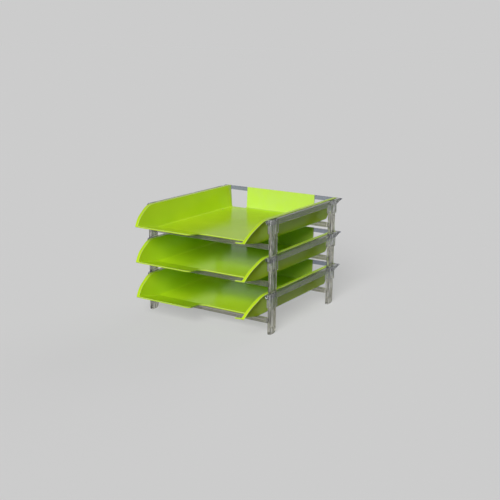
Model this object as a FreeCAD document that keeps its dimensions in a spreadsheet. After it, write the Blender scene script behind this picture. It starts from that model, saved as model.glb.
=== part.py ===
import FreeCAD, Part
import math
import os
import re
import Sketcher

# A stacking document tray of three tiers. A tier is a clear frame and an opaque tray.
# The frame is two side frames, a rear rail and two bars, pressed together at tenons, and
# its feet stand in the sockets of the frame below. The tray hangs by its flanges on the
# rails of the side frames and slides out of the front.
#
# Lengths are in millimetres. Each piece is drawn in the frame of its own tier: X is 0 in
# the middle, Y is 0 at the front faces of the legs, and Z is 0 under the feet. The
# placement of the piece then puts the tier in the stack, whose origin is the middle of
# its footprint, on the ground.

SIZES = {
    # Frame: overall
    "frame_half_width": 136,
    "leg_span": 240,
    "leg_height": 75,
    "tier_pitch": 67,
    "fit_gap": 0.3,
    "press_gap": 0.05,
    # Frame: legs and the sockets at their tops
    "leg_width": 19.5,
    "leg_thickness": 5.6,
    "heel_radius": 8.5,
    "toe_radius": 1.5,
    "socket_length": 25,
    "socket_wall": 1.3,
    "channel_foot": 12,
    "channel_rib": 2.2,
    "channel_depth": 2,
    "panel_depth": 0.8,
    # Frame: side rails, the ledge under the tray's rim, and the ears behind the rear legs
    "rail_proud": 0.7,
    "rail_height": 10,
    "rail_wall": 2.2,
    "rail_front_reach": 8,
    "rail_rear_reach": 20,
    "nose_height": 5,
    "nose_length": 6,
    "nose_narrowing": 3,
    "ear_height": 3.5,
    "ear_length": 9,
    "ledge_width": 3.6,
    "ledge_drop": 1.3,
    # Frame: rear rail, its tips past the ears, and its pegs
    "rear_rail_thickness": 3,
    "rear_rail_height": 8,
    "rear_rail_taper": 5,
    "tip_reach": 2,
    "tip_height": 1.5,
    "peg_width": 4,
    "peg_height": 1.6,
    "peg_length": 6,
    "peg_drop": 0.9,
    # Frame: the two bars under the tray and their tenons
    "bar_height": 9,
    "bar_depth": 5.6,
    "bar_wall": 2,
    "bar_end": 8,
    "rear_bar_inset": 4.5,
    "tenon_length": 2,
    "tenon_shoulder": 1.4,
    # Tray: section
    "tray_depth": 45.2,
    "sheet_wall": 2.2,
    "wall_lean": 11.8,
    "flange_width": 4.2,
    "flange_thickness": 2,
    "floor_radius": 4,
    # Tray: front
    "ramp_reach": 60,
    "ramp_length": 57,
    "ramp_rise": 10.5,
    "rim_reach": 14,
    "rim_radius": 50,
    "brow_reach": 12,
    "brow_drop": 18.5,
    "brow_radius": 60,
    "brow_flange_width": 3.5,
    # Tray: finger cut-out in the right-hand part of the ramp
    "cutout_root": 13,
    "cutout_lip": 3,
    "lip_radius": 8,
    "root_radius": 10,
    "tab_width": 18.8,
    "tab_depth": 9,
    "side_strip": 6,
    # Tray: rear
    "rear_wall_half_width": 79.5,
    "rear_wall_lean": 2.5,
    "corner_gap": 12,
    "foot_radius": 3,
    "ear_corner_radius": 8,
}

TIERS = ("base", "middle", "top")

# Places that several pieces share, each a sum of the sizes above.
RIM = "leg_height"
LEG_INNER = "(frame_half_width - leg_thickness)"
SOCKET_SKIRT = "(fit_gap + socket_wall)"
SOCKET_INNER = f"({LEG_INNER} - {SOCKET_SKIRT})"
SOCKET_OUTER = f"(frame_half_width + {SOCKET_SKIRT})"
RAIL_OUTER = "(frame_half_width + rail_proud)"
RAIL_REAR = "(leg_span + rail_rear_reach)"
REAR_LEG = "(leg_span - leg_width)"
LEDGE_TOP = f"({RIM} - ledge_drop)"
FLANGE_FOOT = f"({LEDGE_TOP} + fit_gap)"
TRAY_TOP = f"({FLANGE_FOOT} + flange_thickness)"
UNDERSIDE = f"({TRAY_TOP} - tray_depth)"
BAR_TOP = f"({UNDERSIDE} - fit_gap)"
BAR_FOOT = f"({BAR_TOP} - bar_height)"
REAR_BAR = f"({REAR_LEG} + rear_bar_inset)"
TRAY_RIM = f"({SOCKET_INNER} - fit_gap)"
WALL_TOP = f"({TRAY_RIM} - flange_width)"
FLOOR_HALF = f"({WALL_TOP} - wall_lean)"
SLOPE = "wall_lean / (tray_depth - flange_thickness)"
RAMP_FOOT = "(ramp_length - ramp_reach)"
TRAY_REAR = f"({RAIL_REAR} - fit_gap)"
FLOOR_REAR = f"({RAIL_REAR} - corner_gap)"
# How far a cutting outline runs past what it cuts.
PAST = "10"

doc = FreeCAD.newDocument("document_tray")
sheet = doc.addObject("Spreadsheet::Sheet", "Sizes")
for row, (name, size) in enumerate(SIZES.items(), 1):
    sheet.set(f"A{row}", str(size))
    sheet.setAlias(f"A{row}", name)
doc.recompute()


def bound(text):
    """A sum of sizes, with each size written as a cell of the sheet."""
    return re.sub("[a-z_]+", lambda word: "Sizes." + word.group(), text)


def value(text):
    """What a sum of sizes comes to."""
    return float(sheet.evalExpression(text))


def origin_plane(body, role):
    """The plane of the body's own origin that has this role."""
    return next(item for item in body.Origin.OriginFeatures if item.Role == role)


def hold(sketch, kind, index, name, text):
    """Bind one coordinate of a sketch point, or one radius, to a sum of sizes."""
    if kind == "Radius":
        number = sketch.addConstraint(Sketcher.Constraint(kind, index, value(text)))
    else:
        number = sketch.addConstraint(Sketcher.Constraint(kind, index, 1, value(text)))
    sketch.renameConstraint(number, name)
    sketch.setExpression(f"Constraints.{name}", bound(text))


def round_corner(sketch, before, after, corner, radius):
    """An arc of this radius between two lines of the outline, tangent to both."""
    sides = (sketch.Geometry[before].EndPoint, sketch.Geometry[after].StartPoint)
    centre = centre_of_round(sides[0], corner, sides[1], radius)
    angles = [math.atan2(side.y - centre.y, side.x - centre.x) for side in sides]
    left_turn = (corner - sides[0]).cross(sides[1] - corner).z > 0
    if not left_turn:
        angles.reverse()
    circle = Part.Circle(centre, FreeCAD.Vector(0, 0, 1), radius)
    arc = sketch.addGeometry(Part.ArcOfCircle(circle, angles[0], angles[1]))
    first, last = (1, 2) if left_turn else (2, 1)
    sketch.addConstraint(Sketcher.Constraint("Tangent", before, 2, arc, first))
    sketch.addConstraint(Sketcher.Constraint("Tangent", arc, last, after, 1))
    return arc


def centre_of_round(start, corner, end, radius):
    """The centre of the arc that meets both sides of a corner at start and end."""
    middle = (start + end) / 2 - corner
    reach = math.hypot(radius, (start - corner).Length)
    return corner + middle.normalize() * reach


def outline(body, name, plane, offset, corners):
    """A closed sketch of straight sides; a corner is (across, up) or (across, up, radius)."""
    sketch = body.newObject("Sketcher::SketchObject", name)
    sketch.AttachmentSupport = (origin_plane(body, plane), "")
    sketch.MapMode = "FlatFace"
    sketch.setExpression("AttachmentOffset.Base.z", bound(offset))
    count = len(corners)
    places = [FreeCAD.Vector(value(corner[0]), value(corner[1]), 0) for corner in corners]
    starts = list(places)
    ends = list(places)
    for index, corner in enumerate(corners):
        if len(corner) == 3:
            back = (places[index - 1] - places[index]).normalize()
            ahead = (places[(index + 1) % count] - places[index]).normalize()
            length = value(corner[2]) / math.tan(back.getAngle(ahead) / 2)
            ends[index] = places[index] + back * length
            starts[index] = places[index] + ahead * length
    for index in range(count):
        sketch.addGeometry(Part.LineSegment(starts[index], ends[(index + 1) % count]))
    for index, corner in enumerate(corners):
        before = (index - 1) % count
        if len(corner) == 2:
            sketch.addConstraint(Sketcher.Constraint("Coincident", before, 2, index, 1))
            held = index
        else:
            arc = round_corner(sketch, before, index, places[index], value(corner[2]))
            hold(sketch, "Radius", arc, f"round_{index}", corner[2])
            held = sketch.addGeometry(Part.Point(places[index]), True)
            sketch.addConstraint(Sketcher.Constraint("PointOnObject", held, 1, before))
            sketch.addConstraint(Sketcher.Constraint("PointOnObject", held, 1, index))
        hold(sketch, "DistanceX", held, f"across_{index}", corner[0])
        hold(sketch, "DistanceY", held, f"up_{index}", corner[1])
    sketch.Visibility = False
    return sketch


def oblong(across, up, top_radius=None, foot_radius=None):
    """The four corners of an oblong, from its sides' (low, high) sums."""
    foot = (foot_radius,) if foot_radius else ()
    top = (top_radius,) if top_radius else ()
    return [
        (across[0], up[0]) + foot,
        (across[1], up[0]) + foot,
        (across[1], up[1]) + top,
        (across[0], up[1]) + top,
    ]


def feature(body, kind, name, sketch, length, backwards=False, both_ways=False):
    """A Pad or a Pocket of a sketch, its length a sum of sizes."""
    made = body.newObject(f"PartDesign::{kind}", name)
    made.Profile = sketch
    made.Reversed = backwards
    if both_ways:
        made.SideType = "Symmetric"
    made.setExpression("Length", bound(length))
    return made


def mirrored(body, name, originals):
    """The same features again on the other side of the middle plane."""
    made = body.newObject("PartDesign::Mirrored", name)
    made.Originals = originals
    made.MirrorPlane = (origin_plane(body, "YZ_Plane"), [""])
    body.Tip = made
    return made


def new_body(label):
    """An empty body for one piece."""
    body = doc.addObject("PartDesign::Body", label)
    body.Label = label
    return body


def set_in_stack(piece, tier):
    """Move a piece from its tier's frame to its place in the stack."""
    middle = f"(ramp_reach - {RAIL_REAR} - rear_rail_thickness) / 2"
    piece.setExpression("Placement.Base.y", bound(middle))
    piece.setExpression("Placement.Base.z", bound(f"{tier} * tier_pitch"))
    return piece


def right_frame(label):
    """The right side frame: rail, ledge, nose, ear, two legs and the sockets at their tops."""
    body = new_body(label)
    rail = outline(body, "rail_section", "XZ_Plane", f"-{RAIL_REAR}", [
        (SOCKET_INNER, f"{RIM} - rail_wall"),
        (SOCKET_INNER, RIM),
        (RAIL_OUTER, RIM),
        (RAIL_OUTER, f"{RIM} - rail_height"),
        (f"{RAIL_OUTER} - rail_wall", f"{RIM} - rail_height"),
        (f"{RAIL_OUTER} - rail_wall", f"{RIM} - rail_wall"),
    ])
    feature(body, "Pad", "rail", rail, f"{RAIL_REAR} + rail_front_reach")
    ledge = outline(body, "ledge_section", "XZ_Plane", f"-{RAIL_REAR}", oblong(
        (f"{SOCKET_INNER} - ledge_width", f"{SOCKET_INNER} + rail_wall"),
        (f"{LEDGE_TOP} - rail_wall", LEDGE_TOP)))
    feature(body, "Pad", "ledge", ledge, RAIL_REAR)
    for end, start, finish in (
        ("nose", "-rail_front_reach", "nose_length - rail_front_reach"),
        ("ear", f"{RAIL_REAR} - ear_length", RAIL_REAR),
    ):
        side = outline(body, f"{end}_side", "YZ_Plane", SOCKET_INNER, oblong(
            (start, finish), (f"{RIM} - rail_height", RIM)))
        feature(body, "Pad", end, side, f"{RAIL_OUTER} - {SOCKET_INNER}")
    ear_cut = outline(body, "ear_taper_side", "YZ_Plane", "0", [
        (f"leg_span + {SOCKET_SKIRT}", f"{RIM} - rail_height"),
        (RAIL_REAR, f"{RIM} - ear_height"),
        (f"{RAIL_REAR} + {PAST}", f"{RIM} - ear_height"),
        (f"{RAIL_REAR} + {PAST}", f"{RIM} - rail_height - {PAST}"),
        (f"leg_span + {SOCKET_SKIRT}", f"{RIM} - rail_height - {PAST}"),
    ])
    feature(body, "Pocket", "ear_taper", ear_cut, "3 * frame_half_width", both_ways=True)
    nose_cut = outline(body, "nose_taper_side", "YZ_Plane", "0", [
        ("nose_length - rail_front_reach", f"{RIM} - rail_height"),
        ("-rail_front_reach", f"{RIM} - nose_height"),
        (f"-rail_front_reach - {PAST}", f"{RIM} - nose_height"),
        (f"-rail_front_reach - {PAST}", f"{RIM} - rail_height - {PAST}"),
        ("nose_length - rail_front_reach", f"{RIM} - rail_height - {PAST}"),
    ])
    feature(body, "Pocket", "nose_taper", nose_cut, "3 * frame_half_width", both_ways=True)
    nose_plan = outline(body, "nose_plan", "XY_Plane", RIM, [
        (RAIL_OUTER, "nose_length - rail_front_reach"),
        (f"{RAIL_OUTER} - nose_narrowing", "-rail_front_reach"),
        (f"{RAIL_OUTER} - nose_narrowing", f"-rail_front_reach - {PAST}"),
        (f"{RAIL_OUTER} + {PAST}", f"-rail_front_reach - {PAST}"),
        (f"{RAIL_OUTER} + {PAST}", "nose_length - rail_front_reach"),
    ])
    feature(body, "Pocket", "nose_narrowing", nose_plan, "rail_height")
    for end, start in (("front", "0"), ("rear", REAR_LEG)):
        leg_with_socket(body, end, start)
    for end, start in (("front", "0"), ("rear", REAR_BAR)):
        mortise = outline(body, f"{end}_mortise_side", "YZ_Plane", LEG_INNER, oblong(
            (f"{start} + tenon_shoulder", f"{start} + bar_depth - tenon_shoulder"),
            (f"{BAR_FOOT} + tenon_shoulder", f"{BAR_TOP} - tenon_shoulder")))
        feature(body, "Pocket", f"{end}_mortise", mortise, "tenon_length + press_gap", backwards=True)
    peg_hole = outline(body, "peg_hole_end", "XZ_Plane", f"-{RAIL_REAR}", oblong(
        (f"{RAIL_OUTER} - rail_wall - peg_width", f"{RAIL_OUTER} - rail_wall"),
        (f"{RIM} - peg_drop - peg_height", f"{RIM} - peg_drop")))
    feature(body, "Pocket", "peg_hole", peg_hole, "peg_length + press_gap", backwards=True)
    return body


def leg_with_socket(body, end, start):
    """A leg with a rounded heel and a channelled face, and the socket block on its top."""
    finish = f"{start} + leg_width"
    side = outline(body, f"{end}_leg_side", "YZ_Plane", LEG_INNER, [
        (start, "0", "toe_radius"),
        (finish, "0", "heel_radius"),
        (finish, RIM),
        (start, RIM),
    ])
    feature(body, "Pad", f"{end}_leg", side, "leg_thickness")
    block = outline(body, f"{end}_block_side", "YZ_Plane", SOCKET_INNER, oblong(
        (f"{start} - {SOCKET_SKIRT}", f"{finish} + {SOCKET_SKIRT}"),
        (f"{RIM} - socket_length", RIM), foot_radius="toe_radius"))
    feature(body, "Pad", f"{end}_block", block, f"{SOCKET_OUTER} - {SOCKET_INNER}")
    socket = outline(body, f"{end}_socket_plan", "XY_Plane", RIM, oblong(
        (f"{LEG_INNER} - fit_gap", "frame_half_width + fit_gap"),
        (f"{start} - fit_gap", f"{finish} + fit_gap")))
    feature(body, "Pocket", f"{end}_socket", socket, f"{RIM} - tier_pitch + fit_gap")
    arch = "leg_width / 2 - channel_rib - 0.5"
    channel = outline(body, f"{end}_channel_side", "YZ_Plane", "frame_half_width", oblong(
        (f"{start} + channel_rib", f"{finish} - channel_rib"),
        ("channel_foot", f"{RIM} - socket_length - channel_rib"), top_radius=arch))
    feature(body, "Pocket", f"{end}_channel", channel, "channel_depth")
    panel = outline(body, f"{end}_panel_side", "YZ_Plane", SOCKET_OUTER, oblong(
        (f"{start} + channel_rib", f"{finish} - channel_rib"),
        (f"{RIM} - socket_length + channel_rib", f"{RIM} - channel_rib"), top_radius=arch))
    feature(body, "Pocket", f"{end}_panel", panel, "panel_depth")


def bar(label, face):
    """A bar under the tray: a channel with solid ends and a tenon in each leg."""
    body = new_body(label)
    back = f"{face} + bar_depth"
    web = f"{face} + bar_wall"
    section = outline(body, "bar_section", "YZ_Plane", "0", [
        (face, BAR_FOOT),
        (back, BAR_FOOT),
        (back, f"{BAR_FOOT} + bar_wall"),
        (web, f"{BAR_FOOT} + bar_wall"),
        (web, f"{BAR_TOP} - bar_wall"),
        (back, f"{BAR_TOP} - bar_wall"),
        (back, BAR_TOP),
        (face, BAR_TOP),
    ])
    feature(body, "Pad", "channel", section, f"2 * {LEG_INNER}", both_ways=True)
    end = outline(body, "end_section", "YZ_Plane", LEG_INNER, oblong(
        (face, back), (BAR_FOOT, BAR_TOP)))
    block = feature(body, "Pad", "end_block", end, "bar_end", backwards=True)
    tongue = outline(body, "tenon_section", "YZ_Plane", LEG_INNER, oblong(
        (f"{face} + tenon_shoulder + press_gap", f"{back} - tenon_shoulder - press_gap"),
        (f"{BAR_FOOT} + tenon_shoulder + press_gap", f"{BAR_TOP} - tenon_shoulder - press_gap")))
    tenon = feature(body, "Pad", "tenon", tongue, "tenon_length")
    mirrored(body, "other_end", [block, tenon])
    return body


def rear_rail(label):
    """The rail across the back: a peg in each ear, and a pointed tip past each ear."""
    body = new_body(label)
    taper = f"({SOCKET_INNER} - rear_rail_taper)"
    tip = f"({RAIL_OUTER} + tip_reach)"
    face = outline(body, "rail_face", "XZ_Plane", f"-{RAIL_REAR}", [
        (f"-{tip}", RIM),
        (f"-{tip}", f"{RIM} - tip_height"),
        (f"-{RAIL_OUTER}", f"{RIM} - ear_height"),
        (f"-{SOCKET_INNER}", f"{RIM} - ear_height"),
        (f"-{taper}", f"{RIM} - rear_rail_height"),
        (taper, f"{RIM} - rear_rail_height"),
        (SOCKET_INNER, f"{RIM} - ear_height"),
        (RAIL_OUTER, f"{RIM} - ear_height"),
        (tip, f"{RIM} - tip_height"),
        (tip, RIM),
    ])
    feature(body, "Pad", "rail", face, "rear_rail_thickness", backwards=True)
    section = outline(body, "peg_section", "XZ_Plane", f"-{RAIL_REAR}", oblong(
        (f"{RAIL_OUTER} - rail_wall - peg_width + press_gap", f"{RAIL_OUTER} - rail_wall - press_gap"),
        (f"{RIM} - peg_drop - peg_height + press_gap", f"{RIM} - peg_drop - press_gap")))
    peg = feature(body, "Pad", "peg", section, "peg_length")
    mirrored(body, "other_peg", [peg])
    return body


def round_floor_edges(body, name, made, wall, radius):
    """Round the edges where floor and ramp meet the side walls, at this depth in the wall."""
    doc.recompute()
    half = value(f"{FLOOR_HALF} - {wall} + {wall} * {SLOPE}")
    floor = value(f"{UNDERSIDE} + {wall}")
    lip_half = half + value(f"ramp_rise * {SLOPE}")
    corners = [
        FreeCAD.Vector(half, value(TRAY_REAR), floor),
        FreeCAD.Vector(half, value(RAMP_FOOT), floor),
        FreeCAD.Vector(lip_half, value("-ramp_reach"), floor + value("ramp_rise")),
    ]
    edges = []
    for number, edge in enumerate(made.Shape.Edges, 1):
        ends = [vertex.Point for vertex in edge.Vertexes]
        for side in (1, -1):
            places = [FreeCAD.Vector(side * end.x, end.y, end.z) for end in ends]
            if all(any(place.isEqual(corner, 0.01) for corner in corners) for place in places):
                edges.append(f"Edge{number}")
    if len(edges) != 4:
        raise RuntimeError(f"{name} found {len(edges)} edges, not 4")
    rounded = body.newObject("PartDesign::Fillet", name)
    rounded.Base = (made, edges)
    rounded.setExpression("Radius", bound(radius))


def tray(label):
    """The tray: leaning walls, a floor that ramps up at the front, and a finger cut-out."""
    body = new_body(label)
    section = outline(body, "trough_section", "XZ_Plane", f"-{TRAY_REAR}", [
        (f"-{FLOOR_HALF}", UNDERSIDE),
        (FLOOR_HALF, UNDERSIDE),
        (WALL_TOP, FLANGE_FOOT),
        (TRAY_RIM, FLANGE_FOOT),
        (TRAY_RIM, TRAY_TOP),
        (f"-{TRAY_RIM}", TRAY_TOP),
        (f"-{TRAY_RIM}", FLANGE_FOOT),
        (f"-{WALL_TOP}", FLANGE_FOOT),
    ])
    feature(body, "Pad", "block", section, f"{TRAY_REAR} + ramp_reach")
    past_rise = f"ramp_rise * (1 + {PAST} / ramp_length)"
    wedge = outline(body, "ramp_underside", "YZ_Plane", "0", [
        (RAMP_FOOT, UNDERSIDE),
        (RAMP_FOOT, f"{UNDERSIDE} - {PAST}"),
        (f"-ramp_reach - {PAST}", f"{UNDERSIDE} - {PAST}"),
        (f"-ramp_reach - {PAST}", f"{UNDERSIDE} + {past_rise}"),
    ])
    underside = feature(body, "Pocket", "under_ramp", wedge, "3 * frame_half_width", both_ways=True)
    round_floor_edges(body, "outer_round", underside, "0", "floor_radius + sheet_wall")
    front_of_wall(body)
    hollow = hollow_out(body)
    round_floor_edges(body, "inner_round", hollow, "sheet_wall", "floor_radius")
    rear_of_tray(body)
    finger_cutout(body)
    return body


def hollow_out(body):
    """Hollow the block out, level over the floor and slanting over the ramp."""
    floor = f"({UNDERSIDE} + sheet_wall)"
    half = f"({FLOOR_HALF} - sheet_wall + sheet_wall * {SLOPE})"
    top = f"({WALL_TOP} - sheet_wall + (flange_thickness + {PAST}) * {SLOPE})"
    level = outline(body, "hollow_section", "XZ_Plane", f"-({RAMP_FOOT})", [
        (f"-{half}", floor),
        (half, floor),
        (top, f"{TRAY_TOP} + {PAST}"),
        (f"-{top}", f"{TRAY_TOP} + {PAST}"),
    ])
    feature(body, "Pocket", "hollow", level, f"{TRAY_REAR} + {PAST} - {RAMP_FOOT}")
    over_ramp = outline(body, "ramp_hollow_section", "XZ_Plane", f"-({RAMP_FOOT})", [
        (f"-{PAST}", floor),
        (half, floor),
        (top, f"{TRAY_TOP} + {PAST}"),
        (f"-{PAST}", f"{TRAY_TOP} + {PAST}"),
    ])
    cut = feature(body, "Pocket", "ramp_hollow", over_ramp, f"ramp_length + {PAST}")
    cut.UseCustomVector = True
    cut.AlongSketchNormal = True
    cut.setExpression("Direction.x", bound(f"ramp_rise * {SLOPE}"))
    cut.setExpression("Direction.y", bound("-ramp_length"))
    cut.setExpression("Direction.z", bound("ramp_rise"))
    return mirrored(body, "other_ramp_hollow", [cut])


def brow(drop):
    """The line from the rim down to the lip, this far below the tray's upper edge."""
    lip_top = f"{UNDERSIDE} + ramp_rise + sheet_wall"
    return [
        (PAST, f"{TRAY_TOP} - {drop}"),
        ("-rim_reach", f"{TRAY_TOP} - {drop}", "rim_radius"),
        ("brow_reach - ramp_reach", f"{TRAY_TOP} - brow_drop - {drop}", "brow_radius"),
        ("-ramp_reach", f"{lip_top} - {drop}"),
    ]


def front_of_wall(body):
    """Slope the front of both walls down to the lip, and carry the flange down the slope."""
    edge = brow("0")
    cut = outline(body, "brow_side", "YZ_Plane", "0", edge + [
        (f"-ramp_reach - {PAST}", edge[-1][1]),
        (f"-ramp_reach - {PAST}", f"{TRAY_TOP} + {PAST}"),
        (PAST, f"{TRAY_TOP} + {PAST}"),
    ])
    feature(body, "Pocket", "brow", cut, "3 * frame_half_width", both_ways=True)
    band = outline(body, "brow_flange_side", "YZ_Plane", "0", edge + brow("flange_thickness")[::-1])
    feature(body, "Pad", "brow_flange", band, f"2 * {TRAY_RIM}", both_ways=True)
    trim = outline(body, "brow_flange_trim_section", "XZ_Plane", f"ramp_reach + {PAST}", [
        (TRAY_RIM, FLANGE_FOOT),
        (f"{FLOOR_HALF} + brow_flange_width", UNDERSIDE),
        (f"{FLOOR_HALF} + brow_flange_width", f"{UNDERSIDE} - {PAST}"),
        (f"{TRAY_RIM} + {PAST}", f"{UNDERSIDE} - {PAST}"),
        (f"{TRAY_RIM} + {PAST}", FLANGE_FOOT),
    ])
    trimmed = feature(body, "Pocket", "brow_flange_trim", trim, f"ramp_reach + {PAST}")
    mirrored(body, "other_brow_flange_trim", [trimmed])


def rear_of_tray(body):
    """Slant the rear edges of the walls, and close the middle of the back with a wall."""
    slant = outline(body, "rear_slant_side", "YZ_Plane", "0", [
        (FLOOR_REAR, f"{UNDERSIDE} - {PAST}"),
        (FLOOR_REAR, f"{UNDERSIDE} + 2 * sheet_wall", "ear_corner_radius"),
        (TRAY_REAR, TRAY_TOP),
        (f"{TRAY_REAR} + {PAST}", TRAY_TOP),
        (f"{TRAY_REAR} + {PAST}", f"{UNDERSIDE} - {PAST}"),
    ])
    feature(body, "Pocket", "rear_slant", slant, "3 * frame_half_width", both_ways=True)
    foot = f"({TRAY_REAR} - rear_wall_lean)"
    side = outline(body, "rear_wall_side", "YZ_Plane", "0", [
        (f"{FLOOR_REAR} - sheet_wall", UNDERSIDE),
        (foot, UNDERSIDE, "foot_radius + sheet_wall"),
        (TRAY_REAR, TRAY_TOP),
        (f"{TRAY_REAR} - sheet_wall", TRAY_TOP),
        (f"{foot} - sheet_wall", f"{UNDERSIDE} + sheet_wall", "foot_radius"),
        (f"{FLOOR_REAR} - sheet_wall", f"{UNDERSIDE} + sheet_wall"),
    ])
    feature(body, "Pad", "rear_wall", side, "2 * rear_wall_half_width", both_ways=True)


def finger_cutout(body):
    """Cut the right-hand part of the ramp away, up to a tab beside the wall."""
    strip = f"({FLOOR_HALF} - side_strip)"
    tab = f"({FLOOR_HALF} + brow_flange_width + ramp_rise * {SLOPE} - tab_width)"
    plan = outline(body, "cutout_plan", "XY_Plane", f"{UNDERSIDE} - {PAST}", [
        ("-cutout_root", f"-ramp_reach - {PAST}"),
        ("-cutout_root", "-ramp_reach"),
        ("cutout_lip", "-ramp_reach", "lip_radius"),
        ("-cutout_root", RAMP_FOOT, "root_radius"),
        (strip, RAMP_FOOT, "root_radius"),
        (f"{strip} + ramp_rise * {SLOPE}", "tab_depth - ramp_reach", "root_radius / 4"),
        (tab, "tab_depth - ramp_reach", "root_radius / 4"),
        (tab, f"-ramp_reach - {PAST}"),
    ])
    height = f"{PAST} + ramp_rise + 2 * sheet_wall"
    feature(body, "Pocket", "finger_cutout", plan, height, backwards=True)


pieces = []
for tier, tier_name in enumerate(TIERS):
    right = set_in_stack(right_frame(f"{tier_name}_right_frame"), tier)
    left = doc.addObject("Part::Mirroring", f"{tier_name}_left_frame")
    left.Label = f"{tier_name}_left_frame"
    left.Source = right
    left.Normal = FreeCAD.Vector(1, 0, 0)
    pieces += [right, left]
    pieces += [
        set_in_stack(rear_rail(f"{tier_name}_rear_rail"), tier),
        set_in_stack(bar(f"{tier_name}_front_bar", "0"), tier),
        set_in_stack(bar(f"{tier_name}_rear_bar", REAR_BAR), tier),
        set_in_stack(tray(f"{tier_name}_tray"), tier),
    ]
doc.recompute()

for item in doc.Objects:
    if "Invalid" in item.State or "Error" in item.State:
        raise RuntimeError(f"{item.Label} failed: {item.State}")
    if item.TypeId == "PartDesign::Pocket":
        if item.Shape.Volume >= item.BaseFeature.Shape.Volume:
            raise RuntimeError(f"{item.Label} cuts nothing")

os.makedirs("parts", exist_ok=True)
for piece in pieces:
    if piece.Shape.isNull() or not piece.Shape.isValid() or len(piece.Shape.Solids) != 1:
        raise RuntimeError(f"{piece.Label} is not one valid solid")
    piece.Shape.exportStep(f"parts/{piece.Label}.step")
    print(piece.Label, round(piece.Shape.Volume, 1), piece.Shape.BoundBox)
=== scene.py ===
import math

import bpy
from mathutils import Matrix, Vector


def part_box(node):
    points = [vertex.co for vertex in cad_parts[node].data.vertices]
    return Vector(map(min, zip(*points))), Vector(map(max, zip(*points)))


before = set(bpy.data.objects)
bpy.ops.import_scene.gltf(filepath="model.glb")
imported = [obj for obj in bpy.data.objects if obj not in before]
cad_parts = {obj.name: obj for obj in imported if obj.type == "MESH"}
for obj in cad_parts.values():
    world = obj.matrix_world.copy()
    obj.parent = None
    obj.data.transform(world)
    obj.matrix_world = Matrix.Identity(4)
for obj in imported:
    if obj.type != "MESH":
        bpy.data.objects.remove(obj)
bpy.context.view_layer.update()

bl_info = {
    "name": "Three-tier document tray",
    "version": (1, 0, 0),
    "blender": (4, 5, 0),
    "location": "View3D > Sidebar > Document Tray",
    "description": "Finishes, lights and camera for a stacking document tray",
    "category": "Object",
}

TIERS = ("base", "middle", "top")
FRAME_PARTS = ("right_frame", "left_frame", "front_bar", "rear_bar")
MM = 0.001


def depth(node):
    """How far back the middle of a node lies."""
    low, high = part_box(node)
    return (low.y + high.y) / 2


# The clear plastic changes its tint at these heights, counted from TINT_START above each tier's feet
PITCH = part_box("top_tray")[0].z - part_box("middle_tray")[0].z
TINT_START = 10 * MM
RAIL_RISE = (0.60 * PITCH, 0.72 * PITCH)

# The legs stand LEG_REACH before and behind LEG_MIDDLE, and LEG_INSIDE to either side
FRONT_LEG = depth("top_front_bar")
REAR_LEG = depth("top_rear_bar")
LEG_HALF = 10 * MM
LEG_MIDDLE = (FRONT_LEG + REAR_LEG) / 2
LEG_REACH = (REAR_LEG - FRONT_LEG) / 2 - LEG_HALF
LEG_INSIDE = 125 * MM
LEG_BLEND = 2 * MM

# The rear wall's painted highlight, a paler colour, sets in and is full at these depths
TRAY_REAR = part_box("top_tray")[1].y
REAR_HIGHLIGHT_RISE = (TRAY_REAR - 14 * MM, TRAY_REAR - 8 * MM)

# Green plastic. A grain is the scale of a noise, and a rise is where its pattern sets in and is full
FLOW_GRAIN = 9
FLOW_RISE = (0.35, 0.65)
FLOW_SHADE = (0.86, 0.92, 0.80, 1)
SMEAR_AND_SHEEN_GRAIN = 34
SMEAR_RISE = (0.48, 0.75)
SMEAR_ROUGHNESS = 0.10
HIGHLIGHT_PATCH_RISE = (0.40, 0.60)
REAR_HIGHLIGHT_SHARE = (0.75, 1.00)
EDGE_HIGHLIGHT_RISE = (0.07, 0.18)
PEEL_GRAIN = 900
PEEL_STRENGTH = 0.05
PEEL_DEPTH = 0.2 * MM
GREEN_IOR = 1.5
GREEN_SPECULAR = 0.08

# Clear plastic. Its streaks are drawn out along Z, and have their least share outside the legs. The
# bright streaks are painted glints and the dark ones painted shade; the streaks also give a relief
RIPPLE_GRAIN = 60
RIPPLE_STRENGTH = 0.4
RIPPLE_DEPTH = 0.5 * MM
DIMPLE_GRAIN = 170
SCUFF_GRAIN = 140
SCUFF_RISE = (0.50, 0.80)
SCUFF_ROUGHNESS = 0.12
STREAK_GRAIN = 330
STREAK_STRETCH = (1, 1, 0.15)
STREAK_RELIEF = 0.6
PAINTED_SHADE_RISE = (0.48, 0.38)
PAINTED_SHADE_SHARE = (0.06, 0.52)
PAINTED_GLINT_RISE = (0.52, 0.60)
PAINTED_GLINT_SHARE = (0.10, 0.68)
SILVER_SHARE = 0.55
CLEAR_IOR = 1.49
CLEAR_TRANSMISSION = 0.88

# Sockets of a Mix node that mixes colours, because its socket names stand for other kinds too
MIX_FACTOR, MIX_FIRST, MIX_SECOND, MIX_RESULT = 0, 6, 7, 2
BEVEL_SAMPLES = 6

# Width of the camera's sensor in millimetres
SENSOR_WIDTH = 36


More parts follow.
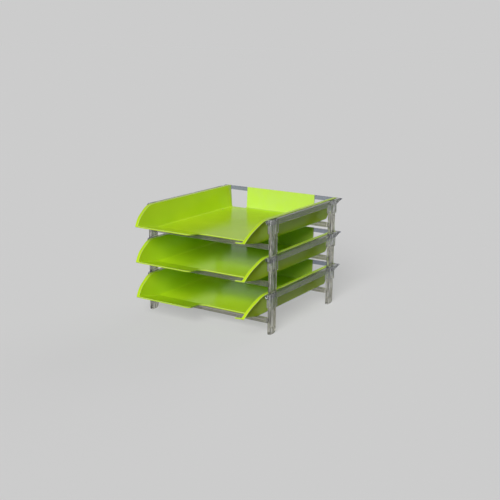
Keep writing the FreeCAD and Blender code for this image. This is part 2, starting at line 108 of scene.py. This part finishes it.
class TrayFinish(bpy.types.PropertyGroup):
    """Colours and finish of the green trays."""

    body: bpy.props.FloatVectorProperty(
        name="Body", description="Colour of the tray's faces", subtype="COLOR",
        size=4, min=0, max=1, default=(0.60, 0.86, 0.018, 1))
    # The rear wall's paler colour is a painted highlight
    rear: bpy.props.FloatVectorProperty(
        name="Rear wall", description="Colour of the rear wall, which is paler", subtype="COLOR",
        size=4, min=0, max=1, default=(0.56, 0.78, 0.12, 1))
    # The edge colour is a painted highlight along thin edges
    edge: bpy.props.FloatVectorProperty(
        name="Edge", description="Colour where light gathers along thin edges", subtype="COLOR",
        size=4, min=0, max=1, default=(1.0, 1.0, 0.62, 1))
    edge_radius: bpy.props.FloatProperty(
        name="Edge radius", description="Radius that the edges seem to have", subtype="DISTANCE",
        unit="LENGTH", default=1.2 * MM, min=0)
    gloss: bpy.props.FloatProperty(
        name="Roughness", description="Roughness of a clean face", subtype="FACTOR",
        default=0.16, min=0, max=1)


class FrameFinish(bpy.types.PropertyGroup):
    """Colours and finish of the clear frames."""

    body: bpy.props.FloatVectorProperty(
        name="Body", description="Colour of the clear plastic in the legs and bars", subtype="COLOR",
        size=4, min=0, max=1, default=(0.54, 0.53, 0.44, 1))
    socket: bpy.props.FloatVectorProperty(
        name="Socket", description="Colour where a foot stands in a socket", subtype="COLOR",
        size=4, min=0, max=1, default=(0.54, 0.56, 0.55, 1))
    # Glints are painted highlights in the legs' bright streaks
    glint: bpy.props.FloatVectorProperty(
        name="Glints", description="Colour of the bright streaks in the legs", subtype="COLOR",
        size=4, min=0, max=1, default=(1.0, 1.0, 1.0, 1))
    # Shades are painted shade in the legs' dark streaks
    shade: bpy.props.FloatVectorProperty(
        name="Shades", description="Colour of the dark streaks in the legs", subtype="COLOR",
        size=4, min=0, max=1, default=(0.10, 0.11, 0.15, 1))
    side_rail: bpy.props.FloatVectorProperty(
        name="Side rail", description="Colour of the side rails", subtype="COLOR",
        size=4, min=0, max=1, default=(0.44, 0.49, 0.36, 1))
    rear_rail: bpy.props.FloatVectorProperty(
        name="Rear rail", description="Colour of the rear rail, which is thicker", subtype="COLOR",
        size=4, min=0, max=1, default=(0.39, 0.42, 0.52, 1))
    edge_radius: bpy.props.FloatProperty(
        name="Edge radius", description="Radius that the edges seem to have", subtype="DISTANCE",
        unit="LENGTH", default=0.5 * MM, min=0)
    gloss: bpy.props.FloatProperty(
        name="Roughness", description="Roughness of a clean face", subtype="FACTOR",
        default=0.06, min=0, max=1)


class StageSizes(bpy.types.PropertyGroup):
    """The floor, the lights and the camera."""

    azimuth: bpy.props.FloatProperty(
        name="Azimuth", description="Camera's turn to the right of the front", subtype="ANGLE",
        unit="ROTATION", default=math.radians(32.39))
    elevation: bpy.props.FloatProperty(
        name="Elevation", description="Camera's height above the horizon", subtype="ANGLE",
        unit="ROTATION", default=math.radians(13.89))
    roll: bpy.props.FloatProperty(
        name="Roll", description="Camera's tilt about its own axis", subtype="ANGLE",
        unit="ROTATION", default=math.radians(0.65))
    distance: bpy.props.FloatProperty(
        name="Distance", description="From the camera to the point that it looks at",
        subtype="DISTANCE", unit="LENGTH", default=1.6782)
    aim: bpy.props.FloatVectorProperty(
        name="Aim", description="The point that the camera looks at", subtype="TRANSLATION",
        unit="LENGTH", default=(0.0180, 0.0148, 0.1163))
    lens: bpy.props.FloatProperty(
        name="Lens", description="Focal length in millimetres on a 36 mm sensor",
        subtype="DISTANCE_CAMERA", unit="CAMERA", default=62.59, min=1)
    floor: bpy.props.FloatVectorProperty(
        name="Floor", description="Colour of the floor as it is seen", subtype="COLOR",
        size=4, min=0, max=1, default=(0.80, 0.80, 0.80, 1))
    floor_glow: bpy.props.FloatVectorProperty(
        name="Floor glow", description="Even part of the floor's look, which lightens the shadow on it",
        subtype="COLOR", size=4, min=0, max=1, default=(0.72, 0.72, 0.72, 1))
    floor_glow_share: bpy.props.FloatProperty(
        name="Floor glow share", description="Share of the even part in the floor's look",
        subtype="FACTOR", default=0.55, min=0, max=1)
    floor_bounce: bpy.props.FloatVectorProperty(
        name="Floor bounce", description="Colour of the floor for the light that it throws back",
        subtype="COLOR", size=4, min=0, max=1, default=(0.18, 0.18, 0.18, 1))
    backdrop: bpy.props.FloatVectorProperty(
        name="Backdrop", description="Colour of the backdrop as it is seen", subtype="COLOR",
        size=4, min=0, max=1, default=(0.604, 0.604, 0.604, 1))
    floor_size: bpy.props.FloatProperty(
        name="Floor size", description="Side of the square floor", subtype="DISTANCE",
        unit="LENGTH", default=60.0, min=1)
    key_direction: bpy.props.FloatVectorProperty(
        name="Key direction", description="Where the main light comes from", subtype="DIRECTION",
        default=(0.25, -0.83, 0.50))
    key_strength: bpy.props.FloatProperty(
        name="Key strength", description="Strength of the main light", default=2.8, min=0)
    back_direction: bpy.props.FloatVectorProperty(
        name="Back direction", description="Where the weak light from behind comes from",
        subtype="DIRECTION", default=(0.05, 0.94, 0.33))
    back_strength: bpy.props.FloatProperty(
        name="Back strength", description="Strength of the weak light from behind", default=0.6, min=0)
    spread: bpy.props.FloatProperty(
        name="Spread", description="Width of both lights, which softens their shadows",
        subtype="ANGLE", unit="ROTATION", default=math.radians(32))
    sky_strength: bpy.props.FloatProperty(
        name="Sky strength", description="Strength of the even light from all round",
        default=0.07, min=0)


class Value:
    """A number or colour that varies over a surface. Sums and products of numbers add Math nodes."""

    def __init__(self, finish, socket):
        self.finish = finish
        self.socket = socket

    def __add__(self, other):
        return self.finish.math("ADD", self, other)

    def __sub__(self, other):
        return self.finish.math("SUBTRACT", self, other)

    def __rsub__(self, other):
        return self.finish.math("SUBTRACT", other, self)

    def __mul__(self, other):
        return self.finish.math("MULTIPLY", self, other)

    def __mod__(self, other):
        return self.finish.math("MODULO", self, other)

    def __abs__(self):
        return self.finish.math("ABSOLUTE", self, 0)

    __radd__ = __add__
    __rmul__ = __mul__


class Finish:
    """A material, or the world, while it is made."""

    def __init__(self, name, kind="materials"):
        self.made = getattr(bpy.data, kind).new(name)
        self.made.use_nodes = True
        self.tree = self.made.node_tree
        self.tree.nodes.clear()

    def node(self, kind, settings=None, sockets=None, output=0):
        """Add a node of this kind, set it up, feed its sockets and return one output."""
        made = self.tree.nodes.new("ShaderNode" + kind)
        for name, setting in (settings or {}).items():
            setattr(made, name, setting)
        for name, fed in (sockets or {}).items():
            if isinstance(fed, Value):
                self.tree.links.new(fed.socket, made.inputs[name])
            else:
                made.inputs[name].default_value = fed
        return Value(self, made.outputs[output]) if made.outputs else None

    def math(self, operation, first, second, clamp=False):
        """A Math node on two numbers, of which either may vary."""
        return self.node("Math", {"operation": operation, "use_clamp": clamp}, {0: first, 1: second})

    def along(self, axis, place):
        """How far these coordinates lie along X, Y or Z."""
        return self.node("SeparateXYZ", None, {"Vector": place}, axis)

    def noise(self, place, scale, detail=2, roughness=0.5):
        """Noise from 0 to 1 on these coordinates."""
        sockets = {"Vector": place, "Scale": scale, "Detail": detail, "Roughness": roughness}
        return self.node("TexNoise", None, sockets)

    def ramp(self, value, low, high):
        """A number's rise from 0 at low to 1 at high, held at its ends."""
        sockets = {"Value": value, "From Min": low, "From Max": high}
        return self.node("MapRange", {"clamp": True}, sockets)

    def share(self, mask, least, most):
        """A number that is least where the mask is 0 and most where it is 1."""
        return least + (most - least) * mask

    def mix(self, factor, first, second):
        """A colour between two others."""
        sockets = {MIX_FACTOR: factor, MIX_FIRST: first, MIX_SECOND: second}
        return self.node("Mix", {"data_type": "RGBA"}, sockets, MIX_RESULT)

    def blend(self, factor, first, second):
        """A shader between two others."""
        return self.node("MixShader", None, {0: factor, 1: first, 2: second})

    def rounded(self, radius):
        """The surface's normal, turned near edges as if they had this radius."""
        return self.node("Bevel", {"samples": BEVEL_SAMPLES}, {"Radius": radius})

    def beside_edge(self, rounded):
        """How near a sharp edge is: 0 on flat faces, more beside one."""
        flat = self.node("NewGeometry", None, None, "True Normal")
        return 1 - self.node("VectorMath", {"operation": "DOT_PRODUCT"}, {0: rounded, 1: flat}, "Value")

    def seen(self):
        """1 where the eye, a reflection or a clear piece looks at the surface, 0 for its light."""
        path = [self.node("LightPath", None, None, f"Is {ray} Ray")
                for ray in ("Camera", "Glossy", "Transmission")]
        return self.math("ADD", path[0] + path[1], path[2], clamp=True)

    def done(self, shader, output="OutputMaterial"):
        """Join the shader to the output and return what was made."""
        self.node(output, None, {"Surface": shader})
        return self.made


def tray_material(settings):
    """Glossy opaque plastic with painted highlights along its edges and in patches on the rear wall,
    faint flow marks and a fine peel.
    """
    finish = Finish("tray_green")
    place = finish.node("TexCoord", None, None, "Object")
    normal = finish.rounded(settings.edge_radius)
    flow = finish.noise(place, FLOW_GRAIN)
    peel = finish.noise(place, PEEL_GRAIN)
    smears_and_sheen = finish.noise(place, SMEAR_AND_SHEEN_GRAIN, detail=5, roughness=0.65)
    deeper = [part * shade for part, shade in zip(settings.body, FLOW_SHADE)]
    body = finish.mix(finish.ramp(flow, *FLOW_RISE), deeper, settings.body)
    # Painted highlight: the rear wall turns paler in patches, using the same noise as the smears
    rear_highlight_mask = finish.ramp(finish.along("Y", place), *REAR_HIGHLIGHT_RISE)
    highlight_patches = finish.share(finish.ramp(smears_and_sheen, *HIGHLIGHT_PATCH_RISE), *REAR_HIGHLIGHT_SHARE)
    rear_highlighted = finish.mix(rear_highlight_mask * highlight_patches, body, settings.rear)
    # Painted highlight: a paler colour beside sharp edges
    edge_highlight = finish.ramp(finish.beside_edge(normal), *EDGE_HIGHLIGHT_RISE)
    colour = finish.mix(edge_highlight, rear_highlighted, settings.edge)
    roughness = settings.gloss + SMEAR_ROUGHNESS * finish.ramp(smears_and_sheen, *SMEAR_RISE)
    bump = finish.node("Bump", None, {
        "Strength": PEEL_STRENGTH, "Distance": PEEL_DEPTH, "Height": peel, "Normal": normal})
    return finish.done(finish.node("BsdfPrincipled", None, {
        "Base Color": colour, "Roughness": roughness, "IOR": GREEN_IOR,
        "Specular IOR Level": GREEN_SPECULAR, "Normal": bump}))


def clear_material(settings, name, body, side_rail, socket):
    """Clear, slightly smoky plastic with a ripple, and with upright streaks in the legs: painted glints,
    partly metal-like, and painted shade.
    """
    finish = Finish(name)
    place = finish.node("TexCoord", None, None, "Object")
    normal = finish.rounded(settings.edge_radius)
    ripple = finish.noise(place, RIPPLE_GRAIN)
    dimples = finish.noise(place, DIMPLE_GRAIN)
    scuffs = finish.noise(place, SCUFF_GRAIN, detail=5, roughness=0.7)
    drawn_out = finish.node("Mapping", None, {"Vector": place, "Scale": STREAK_STRETCH})
    streaks = finish.noise(drawn_out, STREAK_GRAIN)
    from_middle = abs(finish.along("Y", place) - LEG_MIDDLE)
    in_leg = finish.ramp(from_middle, LEG_REACH - LEG_BLEND, LEG_REACH)
    in_leg *= finish.ramp(abs(finish.along("X", place)), LEG_INSIDE, LEG_INSIDE + LEG_BLEND)
    in_rail = finish.ramp((finish.along("Z", place) - TINT_START) % PITCH, *RAIL_RISE)
    zones = finish.mix(in_rail, body, finish.mix(in_leg, side_rail, socket))
    # Painted shade: dark streaks, mostly in the legs
    shaded = finish.ramp(streaks, *PAINTED_SHADE_RISE) * finish.share(in_leg, *PAINTED_SHADE_SHARE)
    # Painted highlight: bright glinting streaks, mostly in the legs, which are also made partly
    # metal-like
    glinting = finish.ramp(streaks, *PAINTED_GLINT_RISE) * finish.share(in_leg, *PAINTED_GLINT_SHARE)
    colour = finish.mix(glinting, finish.mix(shaded, zones, settings.shade), settings.glint)
    roughness = settings.gloss + SCUFF_ROUGHNESS * finish.ramp(scuffs, *SCUFF_RISE)
    bump = finish.node("Bump", None, {
        "Strength": RIPPLE_STRENGTH, "Distance": RIPPLE_DEPTH,
        "Height": ripple + dimples + STREAK_RELIEF * streaks, "Normal": normal})
    return finish.done(finish.node("BsdfPrincipled", None, {
        "Base Color": colour, "Metallic": SILVER_SHARE * glinting * in_leg, "Roughness": roughness,
        "IOR": CLEAR_IOR, "Transmission Weight": CLEAR_TRANSMISSION, "Normal": bump}))


def stage_material(settings):
    """A plain pale surface for the floor, which throws little light back and keeps a light shadow."""
    finish = Finish("stage_pale")
    seen = finish.seen()
    colour = finish.mix(seen, settings.floor_bounce, settings.floor)
    lit = finish.node("BsdfDiffuse", None, {"Color": colour})
    even = finish.node("Emission", None, {"Color": settings.floor_glow})
    finish.made.cycles.emission_sampling = "NONE"
    return finish.done(finish.blend(settings.floor_glow_share * seen, lit, even))


def studio_world(settings):
    """An even white sky, seen as the pale backdrop."""
    finish = Finish("studio", "worlds")
    sky = [settings.sky_strength] * 3 + [1]
    colour = finish.mix(finish.seen(), sky, settings.backdrop)
    return finish.done(finish.node("Background", None, {"Color": colour}), "OutputWorld")


def dress(node, material):
    """Give a node of the frame its material."""
    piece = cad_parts[node]
    piece.data.materials.clear()
    piece.data.materials.append(material)


class TRAY_OT_trays(bpy.types.Operator):
    """Finish the three green trays"""

    bl_idname = "document_tray.trays"
    bl_label = "Trays"

    def execute(self, context):
        material = tray_material(context.scene.tray_finish)
        for tier in TIERS:
            dress(f"{tier}_tray", material)
        return {"FINISHED"}


class TRAY_OT_frames(bpy.types.Operator):
    """Finish the clear side frames, bars and rear rails"""

    bl_idname = "document_tray.frames"
    bl_label = "Frames"

    def execute(self, context):
        settings = context.scene.frame_finish
        lilac = settings.rear_rail
        rail = clear_material(settings, "rail_clear", lilac, lilac, lilac)
        material = clear_material(
            settings, "frame_clear", settings.body, settings.side_rail, settings.socket)
        for tier in TIERS:
            dress(f"{tier}_rear_rail", rail)
            for part in FRAME_PARTS:
                dress(f"{tier}_{part}", material)
        return {"FINISHED"}


def sun_lamp(name, direction, strength, spread):
    """A wide distant lamp that shines from this direction."""
    lamp = bpy.data.lights.new(name, "SUN")
    lamp.energy = strength
    lamp.angle = spread
    sun = bpy.data.objects.new(name, lamp)
    sun.rotation_euler = Vector(direction).to_track_quat("Z", "Y").to_euler()
    bpy.context.scene.collection.objects.link(sun)
    return sun


class TRAY_OT_stage(bpy.types.Operator):
    """Set the floor, the soft lights and the camera"""

    bl_idname = "document_tray.stage"
    bl_label = "Stage"

    def execute(self, context):
        settings = context.scene.stage_sizes
        bpy.ops.object.select_all(action="DESELECT")
        bpy.ops.mesh.primitive_plane_add(size=settings.floor_size)
        floor = context.object
        floor.name = "floor"
        floor.data.materials.append(stage_material(settings))
        context.scene.world = studio_world(settings)
        sun_lamp("key", settings.key_direction, settings.key_strength, settings.spread)
        back = sun_lamp("back", settings.back_direction, settings.back_strength, settings.spread)
        back.visible_glossy = False
        self.set_camera(context, settings)
        return {"FINISHED"}

    def set_camera(self, context, settings):
        """Place the camera by its angles, its distance and the point that it looks at."""
        turn, rise, roll = settings.azimuth, settings.elevation, settings.roll
        back = Vector((math.sin(turn) * math.cos(rise), -math.cos(turn) * math.cos(rise), math.sin(rise)))
        level = Vector((math.cos(turn), math.sin(turn), 0))
        upright = back.cross(level)
        right = level * math.cos(roll) + upright * math.sin(roll)
        up = upright * math.cos(roll) - level * math.sin(roll)
        place = Matrix((right, up, back)).transposed().to_4x4()
        place.translation = Vector(settings.aim) + back * settings.distance
        lens = bpy.data.cameras.new("camera")
        lens.lens = settings.lens
        lens.sensor_width = SENSOR_WIDTH
        camera = bpy.data.objects.new("camera", lens)
        camera.matrix_world = place
        context.scene.collection.objects.link(camera)
        context.scene.camera = camera


class TRAY_PT_panel(bpy.types.Panel):
    """The steps that make the document tray, in the sidebar"""

    bl_label = "Document Tray"
    bl_idname = "TRAY_PT_panel"
    bl_space_type = "VIEW_3D"
    bl_region_type = "UI"
    bl_category = "Document Tray"

    def draw(self, context):
        for operator in OPERATORS:
            self.layout.operator(operator.bl_idname)
        for name, group in SETTINGS.items():
            box = self.layout.box()
            for setting in group.__annotations__:
                box.prop(getattr(context.scene, name), setting)


SETTINGS = {"tray_finish": TrayFinish, "frame_finish": FrameFinish, "stage_sizes": StageSizes}
OPERATORS = (TRAY_OT_trays, TRAY_OT_frames, TRAY_OT_stage)
CLASSES = (*SETTINGS.values(), *OPERATORS, TRAY_PT_panel)


def register():
    for kind in CLASSES:
        bpy.utils.register_class(kind)
    for name, group in SETTINGS.items():
        setattr(bpy.types.Scene, name, bpy.props.PointerProperty(type=group))


def unregister():
    for name in SETTINGS:
        delattr(bpy.types.Scene, name)
    for kind in reversed(CLASSES):
        bpy.utils.unregister_class(kind)


def main():
    """Make the whole model."""
    register()
    bpy.ops.document_tray.trays()
    bpy.ops.document_tray.frames()
    bpy.ops.document_tray.stage()
    bpy.context.scene.view_settings.view_transform = "Standard"


if __name__ == "__main__":
    main()
